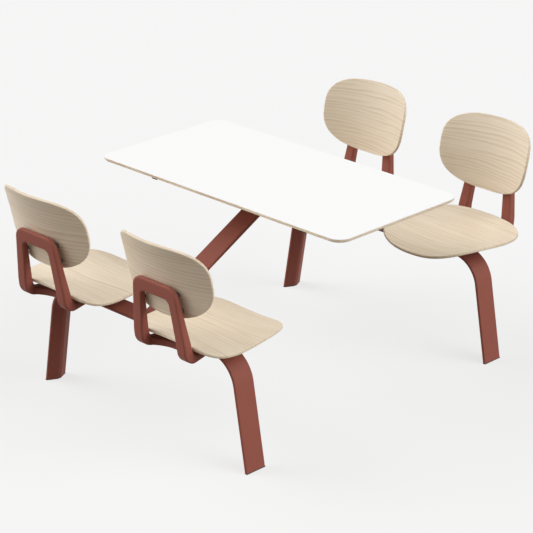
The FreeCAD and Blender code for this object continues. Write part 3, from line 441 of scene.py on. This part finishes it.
def moulded_plastic(colours):
    """Dark nylon with a matt spark-eroded grain."""
    paint = Paint("dark_nylon")
    place = paint.place()
    grain = paint.noise(place, 1400.0, detail=3.0, roughness=0.7)
    cloud = paint.noise(place, 40.0)
    worn = toned(colours.plastic, 1.0, 0.03)
    return paint.finish(
        base_color=paint.mix(grain * 0.4 + cloud * 0.3, colours.plastic, worn),
        roughness=0.5 + grain * 0.15,
        normal=paint.bump(grain, depth=0.00008, strength=0.5),
    )


def zinc_plate(colours):
    """Bright zinc with drawing lines and a slight cloudiness."""
    paint = Paint("zinc_plate")
    place = paint.place()
    lines = paint.drawn_noise(place, (900.0, 900.0, 60.0))
    cloud = paint.noise(place, 120.0, detail=3.0)
    return paint.finish(
        base_color=paint.mix(cloud, toned(colours.zinc, 0.8), toned(colours.zinc, 1.12)),
        metallic=0.95,
        roughness=0.28 + lines * 0.16 + cloud * 0.08,
        normal=paint.bump(lines, depth=0.00003, strength=0.4),
    )


# ---------------------------------------------------------------- modelling

def put_down():
    """Object mode with nothing selected."""
    if bpy.context.object is not None and bpy.context.object.mode != "OBJECT":
        bpy.ops.object.mode_set(mode="OBJECT")
    bpy.ops.object.select_all(action="DESELECT")


def take(piece):
    """Object mode with only this piece selected and active."""
    put_down()
    piece.select_set(True)
    bpy.context.view_layer.objects.active = piece


def pick(test):
    """In edit mode, select the vertices whose place passes the test."""
    bpy.ops.mesh.select_mode(type="VERT")
    bpy.ops.mesh.select_all(action="DESELECT")
    mesh = bmesh.from_edit_mesh(bpy.context.object.data)
    for vertex in mesh.verts:
        vertex.select_set(test(vertex.co))
    mesh.select_flush_mode()
    bmesh.update_edit_mesh(bpy.context.object.data)


def apply(piece, kind, **settings):
    """Add a modifier, set it and apply it."""
    take(piece)
    modifier = piece.modifiers.new(kind.title(), kind)
    for name, value in settings.items():
        setattr(modifier, name, value)
    bpy.ops.object.modifier_apply(modifier=modifier.name)


def oval_sheet(name, half_width, *halves):
    """A flat sheet in rings round its middle.

    Each half is its side of the middle, its reach and its fullness.
    """
    put_down()
    bpy.ops.mesh.primitive_grid_add(x_subdivisions=2, y_subdivisions=2, size=2)
    sheet = bpy.context.object
    sheet.name = name
    bpy.ops.object.mode_set(mode="EDIT")
    bpy.ops.mesh.select_all(action="SELECT")
    bpy.ops.transform.resize(value=(half_width, 1, 1), center_override=(0, 0, 0))
    for side, reach, _ in halves:
        pick(lambda place: place.y * side > NEARLY)
        bpy.ops.transform.translate(value=(0, side * (reach - 1), 0))
    for side, reach, fullness in halves:
        pick(lambda place: place.y * side > reach * NEARLY and abs(place.x) > half_width * NEARLY)
        bpy.ops.mesh.bevel(affect="VERTICES", offset_type="PERCENT", offset_pct=100,
                           segments=CORNER_SEGMENTS, profile=2 ** (-2 / fullness),
                           clamp_overlap=False)
    bpy.ops.mesh.select_all(action="SELECT")
    bpy.ops.mesh.remove_doubles(threshold=SHEET_MERGE)
    bpy.ops.mesh.dissolve_faces()
    bpy.ops.mesh.select_mode(type="FACE")
    bpy.ops.mesh.select_all(action="SELECT")
    bpy.ops.mesh.normals_make_consistent(inside=False)
    rings = [1.0, RIM_RING] + [1 - ring / RING_COUNT for ring in range(1, RING_COUNT)]
    for outer, inner in zip(rings, rings[1:]):
        bpy.ops.mesh.inset(thickness=0, use_boundary=True)
        bpy.ops.transform.resize(value=(inner / outer, inner / outer, 1), center_override=(0, 0, 0))
    bpy.ops.mesh.merge(type="CENTER")
    bpy.ops.object.mode_set(mode="OBJECT")
    return sheet


def press(sheet, bend):
    """Press the flat sheet in a mould; bend gives a flat point its place on the mould."""
    put_down()
    bpy.ops.object.add(type="LATTICE")
    cage = bpy.context.object
    cage.scale = (CAGE_SIZE, CAGE_SIZE, CAGE_SIZE)
    cage.data.points_u = CAGE_POINTS
    cage.data.points_v = CAGE_POINTS
    cage.data.points_w = 1
    for axis in "uvw":
        setattr(cage.data, f"interpolation_type_{axis}", "KEY_CATMULL_ROM")
    for point in cage.data.points:
        flat = point.co * CAGE_SIZE
        point.co_deform = bend(flat.x, flat.y) / CAGE_SIZE
    bpy.context.view_layer.update()
    apply(sheet, "LATTICE", object=cage)
    bpy.data.objects.remove(cage)


def make_ply(sheet, sizes, sunk):
    """Thicken the sheet, below its face (-1) or to both sides (0), and round its edges."""
    apply(sheet, "SOLIDIFY", thickness=sizes.thickness, offset=sunk, use_even_offset=True,
          use_quality_normals=True)
    apply(sheet, "BEVEL", width=sizes.edge, segments=EDGE_SEGMENTS, limit_method="ANGLE",
          angle_limit=ROUNDED_TURN, use_clamp_overlap=False)
    take(sheet)
    bpy.ops.object.mode_set(mode="EDIT")
    bpy.ops.mesh.select_all(action="SELECT")
    bpy.ops.mesh.remove_doubles(threshold=PLY_MERGE)
    bpy.ops.mesh.normals_make_consistent(inside=False)
    bpy.ops.object.mode_set(mode="OBJECT")
    bpy.ops.object.shade_smooth_by_angle(angle=SMOOTH_TURN)


def lay_veneer(sheet, unroll):
    """Store where each vertex lies on the veneer: across, along and down through the plies."""
    layer = sheet.data.attributes.new(GRAIN, "FLOAT_VECTOR", "POINT")
    for vertex, item in zip(sheet.data.vertices, layer.data):
        item.vector = unroll(vertex.co)


def stand(seat):
    """Where a seat stands: its pivot, and whether it is turned to face the other way."""
    low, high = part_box(f"swivel_bush_{seat}")
    middle = (low + high) / 2
    return Vector((middle.x, middle.y, 0)), seat.startswith("far")


def set_out(sheet, kind, material):
    """A copy of the panel at each seat, riding on it and cut from its own stretch of veneer."""
    sheet.data.materials.append(material)
    for n, seat in enumerate(SEATS):
        take(sheet)
        bpy.ops.object.duplicate(linked=False)
        panel = bpy.context.object
        panel.name = f"{kind}_panel_{seat}"
        for item in panel.data.attributes[GRAIN].data:
            item.vector = Vector(item.vector) + Vector([step * n for step in VENEER_STEP])
        pivot, turned = stand(seat)
        if turned:
            bpy.ops.transform.rotate(value=math.pi, orient_axis="Z", center_override=(0, 0, 0))
        bpy.ops.transform.translate(value=pivot)
        bpy.ops.object.transform_apply(location=True, rotation=True, scale=True)
        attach(panel, f"seat_{seat}")
        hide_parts(f"{kind}_{seat}")
    bpy.data.objects.remove(sheet)


def coat_nodes(material, *starts):
    """Give the material to every CAD node whose name starts so."""
    for name, node in frame["nodes"].items():
        if name.startswith(starts):
            for place in node.material_slots:
                place.material = material


# ---------------------------------------------------------------- operators

class SWIVELTABLE_OT_seats(bpy.types.Operator):
    """Mould the four seat panels"""

    bl_idname = "swivel_table.seats"
    bl_label = "Seats"

    def execute(self, context):
        sizes = context.scene.swivel_seat
        level_roll = (sizes.side_front - sizes.side_rear) / 2
        roll_change = (sizes.side_front + sizes.side_rear) / 2

        def top(across, along):
            roll = level_roll + roll_change * along / sizes.unit
            past = (along - sizes.low_line) / sizes.unit
            rise = sizes.rear_rise if past < 0 else -sizes.front_drop
            return sizes.height + roll * (across / sizes.unit) ** 2 + rise * past ** 2

        def bend(across, along):
            wide = across * (1 + sizes.taper * along / sizes.half_width)
            return Vector((wide, along, top(across, along)))

        def unroll(place):
            return Vector((place.x, place.y, top(place.x, place.y) - place.z))

        sheet = oval_sheet("seat_sheet", sizes.half_width,
                           (-1, sizes.behind, sizes.behind_fullness),
                           (1, sizes.ahead, sizes.ahead_fullness))
        press(sheet, bend)
        make_ply(sheet, sizes, -1)
        lay_veneer(sheet, unroll)
        set_out(sheet, "seat", moulded_plywood(context.scene.swivel_colours, sizes.thickness))
        return {"FINISHED"}


class SWIVELTABLE_OT_backrests(bpy.types.Operator):
    """Mould the four backrests"""

    bl_idname = "swivel_table.backrests"
    bl_label = "Backrests"

    def execute(self, context):
        sizes = context.scene.swivel_rest
        ply = context.scene.swivel_seat
        upright_share = math.cos(math.atan(sizes.lean))

        def back(across, above):
            units = above / BOW_UNIT
            wrap = (sizes.wrap + sizes.wrap_rise * units) * (across / sizes.half_width) ** 2
            return -sizes.offset - sizes.lean * above - sizes.bow * units ** 2 + wrap

        def bend(across, above):
            wide = across * (1 + sizes.taper * above / sizes.half_width)
            return Vector((wide, back(wide, above), sizes.middle + above))

        def unroll(place):
            above = place.z - sizes.middle
            through = (back(place.x, above) - place.y) * upright_share + ply.thickness / 2
            return Vector((place.x, above, through))

        sheet = oval_sheet("backrest_sheet", sizes.half_width,
                           (-1, sizes.below, sizes.below_fullness),
                           (1, sizes.above, sizes.above_fullness))
        press(sheet, bend)
        make_ply(sheet, ply, 0)
        lay_veneer(sheet, unroll)
        set_out(sheet, "backrest", moulded_plywood(context.scene.swivel_colours, ply.thickness))
        return {"FINISHED"}


class SWIVELTABLE_OT_table_top(bpy.types.Operator):
    """Finish the table top: its plywood core and its laminate"""

    bl_idname = "swivel_table.table_top"
    bl_label = "Table top"

    def execute(self, context):
        colours = context.scene.swivel_colours
        coat_nodes(board_plywood(colours), "tabletop_core")
        coat_nodes(laminate(colours), "tabletop_laminate")
        return {"FINISHED"}


class SWIVELTABLE_OT_steelwork(bpy.types.Operator):
    """Powder coat the rails, spine, benches, arch, swivel bases and carriers"""

    bl_idname = "swivel_table.steelwork"
    bl_label = "Steelwork"

    def execute(self, context):
        coat_nodes(powder_coat(context.scene.swivel_colours), "cross_rail_", "spine",
                   "bench_frame_", "arch_", "swivel_base_", "carrier_")
        return {"FINISHED"}


class SWIVELTABLE_OT_small_parts(bpy.types.Operator):
    """Finish the glides, caps, bushes, pads, screws, washers and nuts"""

    bl_idname = "swivel_table.small_parts"
    bl_label = "Small parts"

    def execute(self, context):
        colours = context.scene.swivel_colours
        coat_nodes(moulded_plastic(colours), "foot_glide_", "rail_end_caps", "swivel_bush_",
                   "seat_pads_", "back_pads_")
        coat_nodes(zinc_plate(colours), "top_screws", "saddle_bolts", "base_", "swivel_washers",
                   "swivel_nuts", "seat_screws_", "back_studs_")
        return {"FINISHED"}


class SWIVELTABLE_OT_studio(bpy.types.Operator):
    """Set up the floor, the light and the camera"""

    bl_idname = "swivel_table.studio"
    bl_label = "Studio"

    def execute(self, context):
        studio = context.scene.swivel_studio
        shade = context.scene.swivel_colours.floor
        self.make_floor(shade, studio)
        self.make_light(context, shade, studio)
        self.make_camera(context, studio)
        context.scene.view_settings.view_transform = "Standard"
        return {"FINISHED"}

    def make_floor(self, shade, studio):
        """A floor that looks pale and keeps a soft shadow, and lights the object only dimly."""
        put_down()
        bpy.ops.mesh.primitive_plane_add(size=FLOOR_SIZE)
        floor = bpy.context.object
        floor.name = "studio_floor"
        paint = Paint("studio_floor")
        matt = paint.node("ShaderNodeBsdfDiffuse", {}, {"Color": opaque(shade)})
        glow = paint.node("ShaderNodeEmission", {}, {"Color": opaque(shade), "Strength": 1.0})
        seen = paint.blend(studio.glow, matt, glow)
        dim = tuple(part * studio.bounce * tint for part, tint in zip(shade, BOUNCE_TINT))
        unseen = paint.node("ShaderNodeBsdfDiffuse", {}, {"Color": opaque(dim)})
        both = paint.blend(paint.background_ray(), unseen, seen)
        floor.data.materials.append(paint.end(both))

    def make_light(self, context, shade, studio):
        """Soft light from four sides, and the floor's own paleness behind everything."""
        paint = Paint("studio_light", bpy.data.worlds, "ShaderNodeOutputWorld")
        heading = paint.node("ShaderNodeTexCoord", {}, {}, output="Generated")
        total = 0.0
        for name, angles in LIGHTS.items():
            turn, lift = (math.radians(angle) for angle in angles)
            towards = (math.cos(turn) * math.cos(lift), math.sin(turn) * math.cos(lift),
                       math.sin(lift))
            facing = paint.node("ShaderNodeVectorMath", {"operation": "DOT_PRODUCT"},
                                {0: heading, 1: towards}, output="Value")
            lobe = facing.maths("MAXIMUM", facing, 0.0) ** studio.narrowness
            total = lobe * getattr(studio, name) + total
        lit = paint.node("ShaderNodeBackground", {}, {"Color": (1, 1, 1, 1), "Strength": total})
        seen = paint.node("ShaderNodeBackground", {}, {"Color": opaque(shade), "Strength": 1.0})
        context.scene.world = paint.end(paint.blend(paint.background_ray(), lit, seen))

    def make_camera(self, context, studio):
        """A long lens aimed at the target, turned and lifted by the studio's angles."""
        turn = math.radians(studio.azimuth)
        rise = math.radians(studio.elevation)
        back = Vector((math.sin(turn) * math.cos(rise), -math.cos(turn) * math.cos(rise),
                       math.sin(rise)))
        roll = Quaternion((0, 0, 1), math.radians(studio.roll))
        data = bpy.data.cameras.new("camera")
        data.lens = studio.lens
        data.sensor_width = SENSOR_WIDTH
        camera = bpy.data.objects.new("camera", data)
        camera.location = Vector(CAMERA_TARGET) + back * studio.distance
        camera.rotation_mode = "QUATERNION"
        camera.rotation_quaternion = (-back).to_track_quat("-Z", "Y") @ roll
        context.scene.collection.objects.link(camera)
        context.scene.camera = camera


class SWIVELTABLE_PT_panel(bpy.types.Panel):
    """The table's settings and its steps, in order"""

    bl_idname = "SWIVELTABLE_PT_panel"
    bl_label = "Swivel Table"
    bl_space_type = "VIEW_3D"
    bl_region_type = "UI"
    bl_category = "Swivel Table"

    def draw(self, context):
        for group in GROUPS:
            settings = getattr(context.scene, group)
            for name in settings.bl_rna.properties.keys():
                if name not in ("rna_type", "name"):
                    self.layout.prop(settings, name)
        for step in STEPS:
            self.layout.operator(step.bl_idname)


GROUPS = {
    "swivel_seat": SwivelTableSeatSizes,
    "swivel_rest": SwivelTableRestSizes,
    "swivel_colours": SwivelTableColours,
    "swivel_studio": SwivelTableStudio,
}
STEPS = (
    SWIVELTABLE_OT_studio,
    SWIVELTABLE_OT_seats,
    SWIVELTABLE_OT_backrests,
    SWIVELTABLE_OT_table_top,
    SWIVELTABLE_OT_steelwork,
    SWIVELTABLE_OT_small_parts,
)


def register():
    """Add the settings, the steps and the panel."""
    for kind in (*GROUPS.values(), *STEPS, SWIVELTABLE_PT_panel):
        bpy.utils.register_class(kind)
    for name, kind in GROUPS.items():
        setattr(bpy.types.Scene, name, PointerProperty(type=kind))


def unregister():
    """Take them away again."""
    for name in GROUPS:
        delattr(bpy.types.Scene, name)
    for kind in reversed((*GROUPS.values(), *STEPS, SWIVELTABLE_PT_panel)):
        bpy.utils.unregister_class(kind)


def main():
    """Build and finish the whole table."""
    register()
    bpy.ops.swivel_table.studio()
    bpy.ops.swivel_table.seats()
    bpy.ops.swivel_table.backrests()
    bpy.ops.swivel_table.table_top()
    bpy.ops.swivel_table.steelwork()
    bpy.ops.swivel_table.small_parts()
    put_down()


if __name__ == "__main__":
    main()
